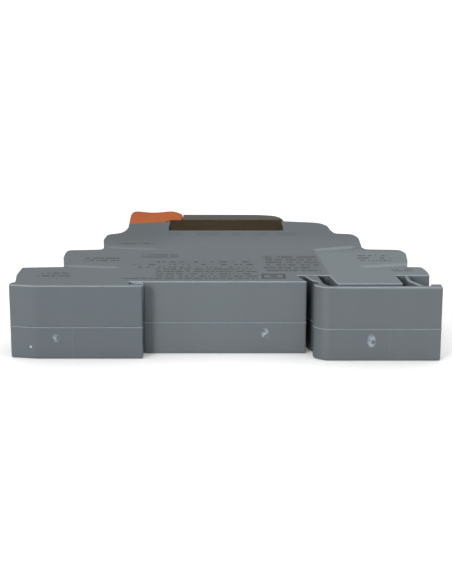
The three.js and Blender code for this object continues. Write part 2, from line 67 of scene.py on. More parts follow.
WIDTH = 14.0
MID_Z = 7.0
SPLIT_Z = 6.1
SIDE_WALL = 1.2
POLE_PLATE_TOP = 7.6
HOOK_Y = 1.3
SEAT_Y = 4.9
SLOT_Y = 5.05
DECK_Y = 60.9
POLE_Z = (3.45, 10.55)
RELAY_LOW = Vector((-13.8, 61.2, 0.65))
RELAY_HIGH = Vector((14.3, 76.7, 13.35))
FLANK = (-13.0, 13.3)  # gap in the side walls where the relay's flanks are bare
PIN_X = (-10.8, 2.0, 7.1, 12.2)
PIVOT = (-18.6, 62.0)
COIL_Y = 69.0

SKIN = 0.08  # how far the walls stand back from the flash on the parting line
RIM = 0.22  # rounding of the upper side face's edge
LOWER_RIM = 0.4
RIM_STEPS = 4
FLASH = (5.93, 5.98, 6.07)  # where the flash starts, is full, and ends
SHARP_DEGREES = 32  # edges that turn by more stay sharp, or are rounded
EDGE_ROUNDING = 0.08  # on the pieces carried over from the CAD

HOLE_RADIUS = 1.8  # wire entries and screwdriver holes
FUNNEL_RADIUS = 2.3
WIRE_DROP = 2.1  # wire entry's axis below the busbar
SCREW_PITCH = 0.5
THREAD_RADIUS = 1.0
HEAD_RADIUS = 1.5
WIRE_TURNS = 30
WINDING_ENDS = (-10.75, -3.45)

# Terminals: name, screw axis, underside of the busbar, side the wire enters from, outer wall, Z positions.
TERMINALS = (
    ("coil_low", -35.6, 8.2, -1, -39.6, (MID_Z,)),
    ("coil_high", -29.3, 26.0, -1, -32.8, (MID_Z,)),
    ("low", 33.6, 26.0, 1, 37.0, POLE_Z),
    ("middle", 26.75, 44.2, 1, 29.4, POLE_Z),
    ("high", 19.3, 60.2, 1, 24.3, POLE_Z),
)

# Outer side view of the housing: x, y, corner radius.
HOUSING_OUTLINE = (
    (-39.99, 2.3, 0.3),
    (-35.0, HOOK_Y, 0.5),
    (-15.2, HOOK_Y, 0.3),
    (-15.2, 3.0, 0.2),
    (-17.8, 2.7, 0),
    (-17.8, SLOT_Y, 0),
    (-15.1, SLOT_Y, 0),
    (-15.1, SEAT_Y, 0),
    (15.3, SEAT_Y, 0),
    (13.8, 10.4, 0),
    (19.8, 10.4, 0),
    (20.7, 3.0, 0.9),
    (33.1, 3.0, 0.7),
    (32.6, 10.4, 0),
    (39.1, 10.4, 0.3),
    (39.2, 11.6, 0.3),
    (39.2, 14.2, 0.8),
    (38.8, 18.0, 0.9),
    (35.9, 18.3, 0.4),
    (37.0, 25.0, 0),
    (37.7, 32.2, 1.5),
    (36.9, 35.6, 1.2),
    (29.8, 36.2, 0.7),
    (29.2, 38.3, 0),
    (29.7, 49.6, 1.6),
    (28.8, 53.9, 1.3),
    (24.9, 54.8, 0.7),
    (24.3, 58.8, 0),
    (24.0, 65.0, 1.8),
    (22.2, 68.9, 1.6),
    (FLANK[1], 71.2, 0.4),
    (FLANK[1], DECK_Y, 0),
    (FLANK[0], DECK_Y, 0),
    (FLANK[0], 70.6, 0.4),
    (-22.9, 67.4, 0.5),
    (-22.6, 62.8, 0),
    (-23.0, 58.2, 2.0),
    (-23.8, 55.2, 1.5),
    (-26.6, 53.4, 1.2),
    (-26.9, 47.6, 0),
    (-25.9, 38.0, 0),
    (-26.2, 36.0, 0.6),
    (-33.2, 35.2, 1.1),
    (-33.4, 32.0, 0),
    (-33.2, 28.0, 0),
    (-31.8, 18.3, 0.5),
    (-39.99, 17.6, 0.6),
    (-39.99, 11.0, 0),
    (-39.2, 4.8, 0.2),
    (-39.99, 3.8, 0.2),
)

HOUSING_CAVITY = (
    (-38.4, 2.7),
    (-19.4, 2.7),
    (-19.4, 6.4),
    (12.9, 6.4),
    (11.5, 11.9),
    (21.2, 11.9),
    (22.1, 4.4),
    (31.7, 4.4),
    (31.1, 11.9),
    (37.6, 11.9),
    (36.8, 16.7),
    (35.0, 16.9),
    (35.9, 27.0),
    (36.2, 34.4),
    (28.6, 35.0),
    (28.5, 52.4),
    (23.7, 53.6),
    (22.9, 58.6),
    (21.9, 67.4),
    (16.8, 69.0),
    (16.8, 59.4),
    (-13.9, 59.4),
    (-13.9, 57.2),
    (-22.0, 57.2),
    (-22.9, 54.2),
    (-25.0, 52.0),
    (-25.6, 47.0),
    (-24.7, 38.2),
    (-24.9, 34.8),
    (-31.9, 34.0),
    (-31.9, 28.0),
    (-30.9, 20.0),
    (-30.6, 16.6),
    (-38.4, 16.4),
    (-38.6, 11.0),
    (-38.2, 5.0),
)

# Sloping steps moulded in both side faces: x at both ends, y of the wall at both ends, run, depth.
FACE_STEPS = (
    (-31.9, -20.6, 19.6, 17.7, 3.2, 0.34),
    (-25.9, -14.4, 39.0, 36.2, 3.2, 0.30),
    (18.2, 28.0, 35.6, 39.2, 3.4, 0.44),
    (26.4, 36.8, 18.1, 21.3, 3.4, 0.44),
)

STEP_WALL = 0.9  # width of the steps' own sloping wall

# Moulding gates: centre, height over width, and how much they are whitened.
GATE_LEFT = ((-31.4, HOOK_Y + SKIN, 4.0), 1.1, 0.5)
GATE_MIDDLE = ((7.5, SEAT_Y + SKIN, 3.95), 1.25, 0.8)
GATE_LATCH = ((27.0, SKIN, 3.8), 1.6, 1.0)
HOOK_NICK = (-36.1, HOOK_Y + 0.31, 2.3)

LATCH_OUTLINE = (
    (16.3, 3.1, 0),
    (16.45, 1.7, 1.2),
    (18.3, 0, 1.4),
    (39.9, 0, 0.35),
    (39.99, 2.7, 0.3),
    (37.9, 2.7, 0.2),
    (37.7, 1.3, 0.2),
    (36.9, 1.3, 0.2),
    (34.95, 6.0, 0.5),
    (34.95, 10.2, 0),
    (34.1, 10.2, 0),
    (34.1, 5.8, 0.5),
    (35.8, 1.3, 0.3),
    (19.2, 1.3, 0.5),
    (18.4, 3.0, 0.6),
    (18.2, 5.2, 0.6),
    (17.7, 10.2, 0),
    (15.0, 10.2, 0),
    (16.3, 6.0, 0),
    (17.35, 5.2, 0),
    (17.35, 3.1, 0),
)

# Camera: place in the drawing frame, degrees below the horizon, and focal length.
CAMERA_PLACE = (0.17, -216.6, 63.6)
CAMERA_TILT = 13.12
CAMERA_LENS = 75.1

# Strength of the white surround, on the object and as the camera sees it.
SURROUND_LIGHT = 0.14
SURROUND_SEEN = 1.05

# Lights: place and target in metres, size in metres, power in watts.
CEILING_LIGHT = ((0.0, 0.30, 0.95), (0, 0.30, 0), (2.4, 2.2), 23.5)
KEY_LIGHT = ((-0.60, -1.04, 0.38), (0, -0.02, 0.007), (0.30, 0.30), 7.8)

FLOOR_RADIUS = 0.6  # metres
FLOOR_GAP = 0.00002  # metres between the floor and the module

SHADE_TINT = (0.845, 0.857, 0.87)  # multiplied into the grey where shade is painted
PRINT_COLOUR = (0.034, 0.033, 0.031)

# Printed dash rows: x and y range, pitch, density.
DASH_FIELDS = (
    ((-19.4, -13.4, 6.9, 9.0), 2.1, 1.2),
    ((-13.4, 6.2, 6.9, 16.6), 2.1, 0.9),
    ((-18.4, 5.6, 17.0, 24.8), 2.6, 0.2),
    ((-17.0, -9.2, 27.2, 31.6), 2.2, 1.6),
    ((7.6, 18.6, 14.0, 29.6), 2.6, 0.9),
    ((-36.0, -29.4, 9.2, 12.6), 2.4, 0.8),
    ((-28.4, -21.4, 23.6, 28.0), 2.4, 0.8),
    ((-22.6, -15.0, 41.8, 43.8), 2.4, 0.8),
    ((26.8, 33.6, 23.8, 29.6), 2.4, 0.5),
    ((32.3, 36.4, 13.9, 17.4), 1.7, 1.7),
)

# Fainter dash rows beside the relay: their y range, and the x range of each.
PIN_ROWS = (52.4, 56.8)
PIN_LABELS = ((-13.0, -9.6), (-6.4, -1.4), (1.4, 3.6), (6.6, 9.8), (11.6, 16.0))

# ---------------------------------------------------------------- mesh tools


def rounded(corners, steps):
    """An outline of (point, reach) with each corner that has a reach turned into a smooth curve."""
    path = []
    for i, (corner, reach) in enumerate(corners):
        if reach <= 0:
            path.append(corner)
            continue
        to_before = corners[i - 1][0] - corner
        to_after = corners[(i + 1) % len(corners)][0] - corner
        reach = min(reach, 0.48 * to_before.length, 0.48 * to_after.length)
        start = corner + to_before.normalized() * reach
        end = corner + to_after.normalized() * reach
        for k in range(steps + 1):
            t = k / steps
            path.append((1 - t) ** 2 * start + 2 * t * (1 - t) * corner + t * t * end)
    return path


def inset(points, depth):
    """The outline's corners moved inwards, with roundings that keep their centres."""
    corners = []
    for i, point in enumerate(points):
        radius = point[2] if len(point) > 2 else 0
        corner = Vector(point[:2])
        along_in = (corner - Vector(points[i - 1][:2])).normalized()
        along_out = (Vector(points[(i + 1) % len(points)][:2]) - corner).normalized()
        turn = along_in.x * along_out.y - along_in.y * along_out.x
        side = Vector((-along_in.y - along_out.y, along_in.x + along_out.x))
        half = math.tan(math.acos(max(-1, min(1, along_in.dot(along_out)))) / 2)
        moved = corner + side * (depth / (1 + along_in.dot(along_out)))
        if radius:
            radius = max(radius - math.copysign(depth * half, turn), 0.04)
        corners.append((moved, radius))
    return corners


def slab(points, sections, name, steps=6):
    """A plate on an outline, with sections (z, inset) from its underside to its top."""
    bm = bmesh.new()
    rings = []
    for z, depth in sections:
        rings.append([bm.verts.new((p.x, p.y, z)) for p in rounded(inset(points, depth), steps)])
    count = len(rings[0])
    for low, high in zip(rings, rings[1:]):
        for k in range(count):
            n = (k + 1) % count
            bm.faces.new((low[k], low[n], high[n], high[k]))
    bm.faces.new(rings[0][::-1])
    bm.faces.new(rings[-1])
    return body_of(bm, name)


def quarter_turn():
    """Angles of a rim's sections, from nothing to a right angle."""
    return [math.pi / 2 * k / RIM_STEPS for k in range(RIM_STEPS + 1)]


def lower_rim(z, radius, skin=0.0):
    """Sections that round the underside's edge."""
    return [(z + radius * (1 - math.cos(a)), skin + radius * (1 - math.sin(a))) for a in quarter_turn()]


def upper_rim(z, radius, skin=0.0):
    """Sections that round the upper face's edge."""
    return [(z - radius * (1 - math.sin(a)), skin + radius * (1 - math.cos(a))) for a in quarter_turn()]


def pillow(points, z0, z1, radius, name="slab", steps=6):
    """A plate rounded along both faces."""
    return slab(points, lower_rim(z0, radius) + upper_rim(z1, radius), name, steps)


def prism(points, z0, z1):
    """A plate with square edges."""
    return slab(points, ((z0, 0), (z1, 0)), "prism")


def block(x0, x1, y0, y1, z0, z1):
    return prism(((x0, y0), (x1, y0), (x1, y1), (x0, y1)), z0, z1)


def body_of(mesh_builder, name):
    """A Blender object, still in millimetres, from a bmesh."""
    mesh = bpy.data.meshes.new(name)
    bmesh.ops.recalc_face_normals(mesh_builder, faces=mesh_builder.faces)
    mesh_builder.to_mesh(mesh)
    mesh_builder.free()
    made = bpy.data.objects.new(name, mesh)
    bpy.context.scene.collection.objects.link(made)
    return made


def lathe(profile, centre, axis, name, sides):
    """A solid of revolution: profile is (distance along axis, radius) from end to end."""
    turn = {"X": Euler((0, math.pi / 2, 0)), "Y": Euler((-math.pi / 2, 0, 0)), "Z": Euler()}[axis]
    matrix = Matrix.Translation(centre) @ turn.to_matrix().to_4x4()
    bm = bmesh.new()
    rings = []
    for along, radius in profile:
        if radius == 0:
            rings.append([bm.verts.new(matrix @ Vector((0, 0, along)))])
            continue
        ring = []
        for k in range(sides):
            a = 2 * math.pi * k / sides
            ring.append(bm.verts.new(matrix @ Vector((radius * math.cos(a), radius * math.sin(a), along))))
        rings.append(ring)
    for low, high in zip(rings, rings[1:]):
        for k in range(sides):
            n = (k + 1) % sides
            if len(low) == 1:
                bm.faces.new((low[0], high[k], high[n]))
            elif len(high) == 1:
                bm.faces.new((low[k], low[n], high[0]))
            else:
                bm.faces.new((low[k], low[n], high[n], high[k]))
    if len(rings[0]) > 1:
        bm.faces.new(rings[0])
    if len(rings[-1]) > 1:
        bm.faces.new(rings[-1])
    return body_of(bm, name)


def rod(axis, a, b, centre, radius, end_radius=None, sides=32):
    """A round bar from a to b along an axis, tapered if it has an end radius."""
    end_radius = radius if end_radius is None else end_radius
    start = {"X": (a, *centre), "Y": (centre[0], a, centre[1]), "Z": (*centre, a)}[axis]
    return lathe(((0, radius), (b - a, end_radius)), Vector(start), axis, "rod", sides)


def wedge(x0, x1, y0, y1, run, depth, face_z, outwards):
    """Cutter for a sloping step: full depth along its wall, fading out over its run towards -Y."""
    bm = bmesh.new()
    rings = []
    for along, share in ((0, 0.1), (0.12, 1), (0.88, 1), (1, 0.1)):
        x, y = x0 + along * (x1 - x0), y0 + along * (y1 - y0)
        deep = -depth * share
        profile = (
            (y + STEP_WALL, 1),
            (y + STEP_WALL, 0.02),
            (y, deep),
            (y - 0.5, deep),
            (y - run, 0.02),
            (y - run, 1),
        )
        rings.append([bm.verts.new((x, py, face_z + outwards * pz)) for py, pz in profile])
    for first, last in zip(rings, rings[1:]):
        for k in range(len(first)):
            n = (k + 1) % len(first)
            bm.faces.new((first[k], first[n], last[n], last[k]))
    bm.faces.new(rings[0])
    bm.faces.new(rings[-1])
    return body_of(bm, "wedge")


def combine(target, tools, operation):
    """Cuts or joins the target with each tool in turn, and drops the tools."""
    for tool in tools:
        modifier = target.modifiers.new("combine", "BOOLEAN")
        modifier.operation = operation
        modifier.solver = "EXACT"
        modifier.object = tool
        depsgraph = bpy.context.evaluated_depsgraph_get()
        mesh = bpy.data.meshes.new_from_object(target.evaluated_get(depsgraph))
        target.modifiers.clear()
        before = target.data
        target.data = mesh
        bpy.data.meshes.remove(before)
        drop(tool)


def cut(target, tools):
    combine(target, tools, "DIFFERENCE")


def add(target, tools):
    combine(target, tools, "UNION")


def drop(tool):
    mesh = tool.data
    bpy.data.objects.remove(tool)
    bpy.data.meshes.remove(mesh)


def even_shading(target):
    """Keeps flat faces flat in the shading while the roundings beside them stay smooth."""
    normals = target.modifiers.new("weighted normals", "WEIGHTED_NORMAL")
    normals.keep_sharp = True


def soften(target):
    """Rounded edges as a modifier."""
    bevel = target.modifiers.new("rounded edges", "BEVEL")
    bevel.width = EDGE_ROUNDING * MM
    bevel.segments = 2
    bevel.limit_method = "ANGLE"
    bevel.angle_limit = math.radians(SHARP_DEGREES)
    even_shading(target)


def clean(mesh):
    """Merges doubled vertices, dissolves what is flat, and marks the sharp edges."""
    sharp = math.radians(SHARP_DEGREES)
    bm = bmesh.new()
    bm.from_mesh(mesh)
    bmesh.ops.remove_doubles(bm, verts=bm.verts, dist=0.002)
    bmesh.ops.dissolve_degenerate(bm, edges=bm.edges, dist=0.002)
    bmesh.ops.dissolve_limit(bm, angle_limit=math.radians(0.5), verts=bm.verts, edges=bm.edges)
    bmesh.ops.recalc_face_normals(bm, faces=bm.faces)
    for face in bm.faces:
        face.smooth = True
    for edge in bm.edges:
        edge.smooth = edge.is_manifold and edge.calc_face_angle(math.pi) < sharp
    bm.to_mesh(mesh)
    bm.free()


def placed(target, name, body, material, node):
    """Finishes a piece: cleans it, moves it into the frame, gives it its material and body, and hides the
    CAD node it stands in for.
    """
    target.name = name
    target.data.name = name
    clean(target.data)
    target.data.transform(TO_FRAME)
    target.data.materials.clear()
    target.data.materials.append(material)
    even_shading(target)
    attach(target, body)
    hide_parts(node)


# ---------------------------------------------------------------- materials


def grey(value):
    """A colour as it is, or a single grey as a colour."""
    return value if isinstance(value, (tuple, list)) else (value, value, value)


def scaled(colour, factor):
    return tuple(min(1.0, c * factor) for c in colour)


class Nodes:
    """A short way to write a material's node tree."""

    def __init__(self, name):
        self.material = bpy.data.materials.new(name)
        self.material.use_nodes = True
        self.tree = self.material.node_tree
        self.shader = self.tree.nodes["Principled BSDF"]
        self.place = self.tree.nodes.new("ShaderNodeTexCoord").outputs["Object"]

    def link(self, value, socket):
        """Joins a node's output to the socket, or sets the socket to a number or colour."""
        if hasattr(value, "links"):
            self.tree.links.new(value, socket)
        elif hasattr(socket.default_value, "__len__"):
            filled = (*grey(value), 1)
            socket.default_value = filled[: len(socket.default_value)]
        else:
            socket.default_value = value

    def vector(self, operation, a, b):
        node = self.tree.nodes.new("ShaderNodeVectorMath")
        node.operation = operation
        self.link(a, node.inputs[0])
        self.link(b, node.inputs[1])
        return node.outputs["Value" if operation == "DISTANCE" else "Vector"]

    def math(self, operation, a, b=0.0):
        node = self.tree.nodes.new("ShaderNodeMath")
        node.operation = operation
        self.link(a, node.inputs[0])
        self.link(b, node.inputs[1])
        return node.outputs[0]

    def drawn(self):
        """The point's place in the drawing frame, in millimetres, as a vector and as x, y and z."""
        from_corner = self.vector("SUBTRACT", self.place, tuple(SHIFT))
        point = self.vector("MULTIPLY", from_corner, (1000, 1000, 1000))
        split = self.tree.nodes.new("ShaderNodeSeparateXYZ")
        self.link(point, split.inputs[0])
        return point, *split.outputs

    def noise(self, scale, detail, stretch=(1, 1, 1), vector=None):
        mapping = self.tree.nodes.new("ShaderNodeMapping")
        mapping.inputs["Scale"].default_value = stretch
        self.link(vector or self.place, mapping.inputs["Vector"])
        texture = self.tree.nodes.new("ShaderNodeTexNoise")
        texture.inputs["Scale"].default_value = scale
        texture.inputs["Detail"].default_value = detail
        texture.inputs["Roughness"].default_value = 0.55
        self.link(mapping.outputs["Vector"], texture.inputs["Vector"])
        return texture.outputs["Fac"]

    def ramp(self, source, low, high):
        """Colour ramp between two colours, each (r, g, b) or a single grey."""
        node = self.tree.nodes.new("ShaderNodeValToRGB")
        node.color_ramp.elements[0].position = 0.3
        node.color_ramp.elements[1].position = 0.7
        node.color_ramp.elements[0].color = (*grey(low), 1)
        node.color_ramp.elements[1].color = (*grey(high), 1)
        self.link(source, node.inputs["Fac"])
        return node.outputs["Color"]

    def rise(self, value, start, end):
        """0 below start, 1 above end."""
        node = self.tree.nodes.new("ShaderNodeMapRange")
        node.interpolation_type = "SMOOTHSTEP"
        self.link(value, node.inputs["Value"])
        node.inputs["From Min"].default_value = start
        node.inputs["From Max"].default_value = end
        return node.outputs["Result"]

    def fall(self, value, start, end):
        """1 below start, 0 above end."""
        return self.math("SUBTRACT", 1.0, self.rise(value, start, end))

    def band(self, value, low, high, soft=0.02):
        """1 between low and high, 0 outside."""
        up = self.rise(value, low - soft, low + soft)
        down = self.rise(value, high - soft, high + soft)
        return self.math("SUBTRACT", up, down)

    def spot(self, point, centre, radius, soft):
        """1 inside a ball, 0 outside."""
        away = self.vector("DISTANCE", point, tuple(centre))
        return self.fall(away, radius - soft, radius + soft)

    def product(self, *values):
        result = values[0]
        for value in values[1:]:
            result = self.math("MULTIPLY", result, value)
        return result

    def strongest(self, *values):
        result = values[0]
        for value in values[1:]:
            result = self.math("MAXIMUM", result, value)
        return result

    def mix(self, factor, a, b, blend="MIX"):
        node = self.tree.nodes.new("ShaderNodeMix")
        node.data_type = "RGBA"
        node.blend_type = blend
        self.link(factor, node.inputs[0])
        self.link(a, node.inputs[6])
        self.link(b, node.inputs[7])
        return node.outputs[2]

    def bump(self, height, strength, distance):
        node = self.tree.nodes.new("ShaderNodeBump")
        node.inputs["Strength"].default_value = strength
        node.inputs["Distance"].default_value = distance * MM
        self.link(height, node.inputs["Height"])
        self.link(node.outputs["Normal"], self.shader.inputs["Normal"])


def plastic_surface(n, roughness, grain, shine=0.45):
    """Uneven gloss, and fine spark-eroded grain of the given depth."""
    n.link(n.ramp(n.noise(300, 2), roughness - 0.02, roughness + 0.03), n.shader.inputs["Roughness"])
    n.shader.inputs["Specular IOR Level"].default_value = shine
    n.bump(n.noise(7000, 2), 0.3, grain)


def moulded_plastic(name, colour, roughness, contrast=0.06, shine=0.45):
    """Injection-moulded plastic with faint flow clouds."""
    n = Nodes(name)
    clouds = n.noise(90, 4, (1, 0.35, 1))
    base = n.ramp(clouds, scaled(colour, 1 - contrast), scaled(colour, 1 + contrast))
    n.link(base, n.shader.inputs["Base Color"])
    plastic_surface(n, roughness, 0.010, shine)
    return n.material


def stress_marks(n, point, gates, dots):
    """Whitened rings (centre, height, strength) where the moulding gates were cut off, and white nicks."""
    marks = []
    broken = n.rise(n.noise(1500, 3), 0.36, 0.60)
    for centre, height, strength in gates:
        away = n.vector("MULTIPLY", n.vector("SUBTRACT", point, centre), (1, 1, 1 / height))
        ring = n.product(
            n.spot(away, (0, 0, 0), 0.70, 0.24),
            n.math("SUBTRACT", 1.0, n.product(n.spot(away, (0, 0, 0), 0.40, 0.18), 0.5)),
        )
        pip = n.spot(away, (0, 0, 0), 0.24, 0.16)
        marks.append(n.product(n.strongest(n.product(ring, strength), pip), broken))
    for centre in dots:
        marks.append(n.spot(point, centre, 0.21, 0.08))
    return n.strongest(*marks)


def dash_rows(n, x, y, box, pitch, density):
    """Rows of small dashes standing in for the printed data, without any lettering."""
    x0, x1, y0, y1 = box
    row = n.math("DIVIDE", n.math("SUBTRACT", y, y0), pitch)
    inside = n.math("LESS_THAN", n.math("FRACT", row), 0.46)
    number = n.math("FLOOR", row)
    place = n.tree.nodes.new("ShaderNodeCombineXYZ")
    n.link(n.math("MULTIPLY", x, 1.35), place.inputs[0])
    n.link(n.math("MULTIPLY", number, 9.3), place.inputs[1])
    dashes = n.rise(n.noise(1.0, 1, vector=place.outputs[0]), 0.53 - 0.1 * density, 0.57 - 0.1 * density)
    return n.product(n.band(x, x0, x1, 0.1), n.band(y, y0, y1, 0.05), inside, dashes)


def frame_mark(n, x, y, box, line):
    """A plain printed rectangle."""
    x0, x1, y0, y1 = box
    outer = n.product(n.band(x, x0, x1), n.band(y, y0, y1))
    inner = n.product(n.band(x, x0 + line, x1 - line), n.band(y, y0 + 2 * line, y1 - 2 * line))
    return n.math("SUBTRACT", outer, inner)


def printed_marks(n, x, y, z):
    """Generic markings on the upper side face: dash rows and a plain frame."""
    rows = [dash_rows(n, x, y, *field) for field in DASH_FIELDS]
    rows += [
        n.product(n.band(x, 7.6, 18.8, 0.5), n.band(y, 14.0, 30.0, 1.0), 0.14),
        n.product(n.band(x, -13.4, 6.2, 1.5), n.band(y, 7.0, 25.0, 1.0), 0.05),
        frame_mark(n, x, y, (6.9, 11.5, 7.2, 11.6), 0.55),
        n.product(n.band(x, 8.6, 9.9), n.band(y, 8.8, 10.1)),
    ]
    for x0, x1 in PIN_LABELS:
        rows.append(n.product(dash_rows(n, x, y, (x0, x1, *PIN_ROWS), 2.2, 1.5), 0.45))
    on_face = n.rise(z, 13.6, 13.65)
    return n.product(n.strongest(*rows), on_face)


def step_highlights(n, x, y):
    """Painted highlights on the slopes of the steps in the side faces."""
    slopes = []
    for x0, x1, y0, y1, _, depth in FACE_STEPS:
        slant = (y1 - y0) / (x1 - x0)
        above = n.math("SUBTRACT", y, n.math("MULTIPLY", n.math("SUBTRACT", x, x0 - y0 / slant), slant))
        wall = n.product(n.band(above, 0.0, STEP_WALL, 0.25), n.band(x, x0 + 0.8, x1 - 0.8, 0.8))
        slopes.append(n.product(wall, 3.4 * depth - 0.85))
    return n.strongest(*slopes)


def module_grey(name, colour, gates=(), dots=(), seams=(), printed=False):
    """Grey housing plastic with painted shade, a painted sheen on the right-hand field, edges painted paler
    as wear and as a painted highlight, painted highlights on the parting line, the steps' slopes and the
    rail slot's back wall, seam lines, gate marks and print.
    """
    n = Nodes(name)
    point, x, y, z = n.drawn()
    on_face = n.rise(z, 13.5, 13.8)
    on_walls = n.fall(z, 13.5, 13.8)
    near_foot = n.fall(y, 11.0, 13.0)
    coil_side = n.fall(x, -15.4, -15.0)

    clouds = n.noise(38, 2, (1, 0.6, 1))
    streaks = n.noise(160, 3, (1, 1, 0.05))
    base = n.ramp(clouds, scaled(colour, 0.98), scaled(colour, 1.02))
    base = n.mix(n.product(on_walls, 0.5), base, n.ramp(streaks, 0.93, 1.05), "MULTIPLY")

    # Painted sheen: the side face is painted paler right of the print.
    right_of_print = n.rise(n.math("ADD", x, n.product(y, 0.05)), 20.3, 20.7)
    sheen_field = n.product(on_face, right_of_print, n.fall(y, 31.0, 38.0))
    base = n.mix(sheen_field, base, scaled(colour, 1.32))

    # Painted shade: darker on the coil side's walls, towards the lever, on the side face's far left corner,
    # in the latch's recess and at its inner end.
    shade = n.strongest(n.product(coil_side, on_walls), n.rise(y, 40.0, 56.0))
    base = n.mix(shade, base, n.mix(1.0, base, SHADE_TINT, "MULTIPLY"))
    recess_shade = n.product(on_walls, n.rise(x, 14.8, 15.2), n.rise(y, 3.6, 5.6), n.math("LESS_THAN", x, 19.0))
    base = n.mix(recess_shade, base, scaled(colour, 0.5))
    far_corner_shade = n.product(on_face, n.rise(y, 34.0, 46.0), n.fall(x, -18.0, -8.0))
    latch_end_shade = n.product(on_walls, n.band(x, 15.6, 17.8, 1.0), near_foot)
    base = n.mix(n.product(n.strongest(far_corner_shade, latch_end_shade), 0.16), base, 0.0)

    # Paler: painted light on the back wall of the rail's slot, painted highlights on the steps' slopes and
    # along the parting line, and the foot's upper edges, partly as wear and partly as a painted highlight.
    lit_slot_wall = n.product(n.band(x, -17.7, -15.3), n.band(y, 4.9, 5.2), n.rise(z, 8.0, 13.0))
    base = n.mix(lit_slot_wall, base, scaled(colour, 2.6))
    base = n.mix(n.product(step_highlights(n, x, y), on_face), base, scaled(colour, 1.7))
    patchy = n.ramp(n.noise(900, 3), 0.65, 1.0)
    # The foot's upper rim is painted paler, partly as wear and partly as a painted highlight.
    edge = n.product(n.band(z, WIDTH - RIM + 0.02, WIDTH - 0.03), near_foot)
    rim_wear_and_highlight = n.math("SUBTRACT", 0.75, n.product(coil_side, 0.15))
    base = n.mix(n.product(edge, patchy, rim_wear_and_highlight), base, scaled(colour, 3.0))
    # Painted highlight along the flash of the parting line, where its ridge catches the light.
    parting_highlight = n.product(n.band(z, FLASH[0] + 0.02, SPLIT_Z + 0.02, 0.03), near_foot)
    base = n.mix(n.product(parting_highlight, patchy, 0.8), base, scaled(colour, 2.5))

    for seam in seams:
        line = n.product(n.band(x, seam - 0.05, seam + 0.05, 0.05), n.math("LESS_THAN", z, 5.9), near_foot)
        base = n.mix(n.product(line, patchy, 0.25), base, scaled(colour, 1.8))
    if gates or dots:
        base = n.mix(n.product(stress_marks(n, point, gates, dots), 0.8), base, scaled(colour, 4.2))
    if printed:
        base = n.mix(n.product(printed_marks(n, x, y, z), 0.78), base, PRINT_COLOUR)
    n.link(base, n.shader.inputs["Base Color"])
    plastic_surface(n, 0.46, 0.008)
    return n.material


def drawn_metal(name, colour, roughness, stretch=(1, 12, 1)):
    """Rolled or drawn metal with fine streaks and slight tarnish."""
    n = Nodes(name)
    n.link(n.ramp(n.noise(350, 4), scaled(colour, 0.8), colour), n.shader.inputs["Base Color"])
    streaks = n.noise(2500, 3, stretch)
    n.link(n.ramp(streaks, roughness - 0.08, roughness + 0.12), n.shader.inputs["Roughness"])
    n.shader.inputs["Metallic"].default_value = 1.0
    n.bump(streaks, 0.25, 0.01)
    return n.material


def smoky_cover(name):
    """Brown see-through plastic of the relay cover."""
    n = Nodes(name)
    tone = n.noise(110, 3)
    n.link(n.ramp(tone, (0.030, 0.019, 0.005), (0.046, 0.029, 0.009)), n.shader.inputs["Base Color"])
    n.link(n.ramp(n.noise(500, 2), 0.28, 0.38), n.shader.inputs["Roughness"])
    n.link(n.ramp(tone, 0.90, 0.96), n.shader.inputs["Alpha"])
    n.shader.inputs["Specular IOR Level"].default_value = 0.03
    n.bump(n.noise(5000, 2), 0.2, 0.006)
    return n.material


def clear_plastic(name, colour, roughness=0.08):
    n = Nodes(name)
    n.link(n.ramp(n.noise(300, 2), scaled(colour, 0.93), colour), n.shader.inputs["Base Color"])
    n.link(n.ramp(n.noise(700, 2), roughness, roughness + 0.06), n.shader.inputs["Roughness"])
    n.shader.inputs["Transmission Weight"].default_value = 0.85
    n.bump(n.noise(4000, 2), 0.15, 0.006)
    return n.material


def wound_copper(name):
    """Enamelled copper wire."""
    n = Nodes(name)
    shade = n.noise(1500, 3, (3, 1, 1))
    n.link(n.ramp(shade, (0.34, 0.11, 0.035), (0.62, 0.24, 0.09)), n.shader.inputs["Base Color"])
    n.link(n.ramp(n.noise(900, 2), 0.25, 0.4), n.shader.inputs["Roughness"])
    n.shader.inputs["Metallic"].default_value = 0.8
    n.bump(shade, 0.3, 0.02)
    return n.material


def banded_resistor(name):
    """Tan lacquer with four painted rings."""
    n = Nodes(name)
    _, x, _, _ = n.drawn()
    tan = n.ramp(n.noise(500, 3), (0.50, 0.38, 0.22), (0.62, 0.48, 0.29))
    for low, high, paint in (
        (-16.9, -16.3, (0.32, 0.13, 0.03)),
        (-15.5, -15.0, (0.02, 0.02, 0.02)),
        (-14.6, -14.1, (0.45, 0.03, 0.02)),
        (-12.9, -12.4, (0.55, 0.38, 0.08)),
    ):
        tan = n.mix(n.band(x, low, high, 0.03), tan, paint)
    leads = n.strongest(n.math("LESS_THAN", x, -17.45), n.math("GREATER_THAN", x, -11.55))
    tan = n.mix(leads, tan, (0.62, 0.62, 0.60))
    n.link(tan, n.shader.inputs["Base Color"])
    n.link(leads, n.shader.inputs["Metallic"])
    n.link(n.ramp(n.noise(600, 2), 0.28, 0.4), n.shader.inputs["Roughness"])
    return n.material


def board_lacquer(name):
    """Green solder-resist with brighter copper tracks under it."""
    n = Nodes(name)
    tracks = n.tree.nodes.new("ShaderNodeTexBrick")
    tracks.inputs["Scale"].default_value = 260
    tracks.inputs["Mortar Size"].default_value = 0.06
    tracks.inputs["Color1"].default_value = (0.010, 0.085, 0.035, 1)
    tracks.inputs["Color2"].default_value = (0.012, 0.100, 0.042, 1)
    tracks.inputs["Mortar"].default_value = (0.035, 0.190, 0.080, 1)
    n.link(n.place, tracks.inputs["Vector"])
    n.link(tracks.outputs["Color"], n.shader.inputs["Base Color"])
    n.link(n.ramp(n.noise(600, 2), 0.25, 0.38), n.shader.inputs["Roughness"])
    n.bump(tracks.outputs["Fac"], 0.4, 0.03)
    return n.material


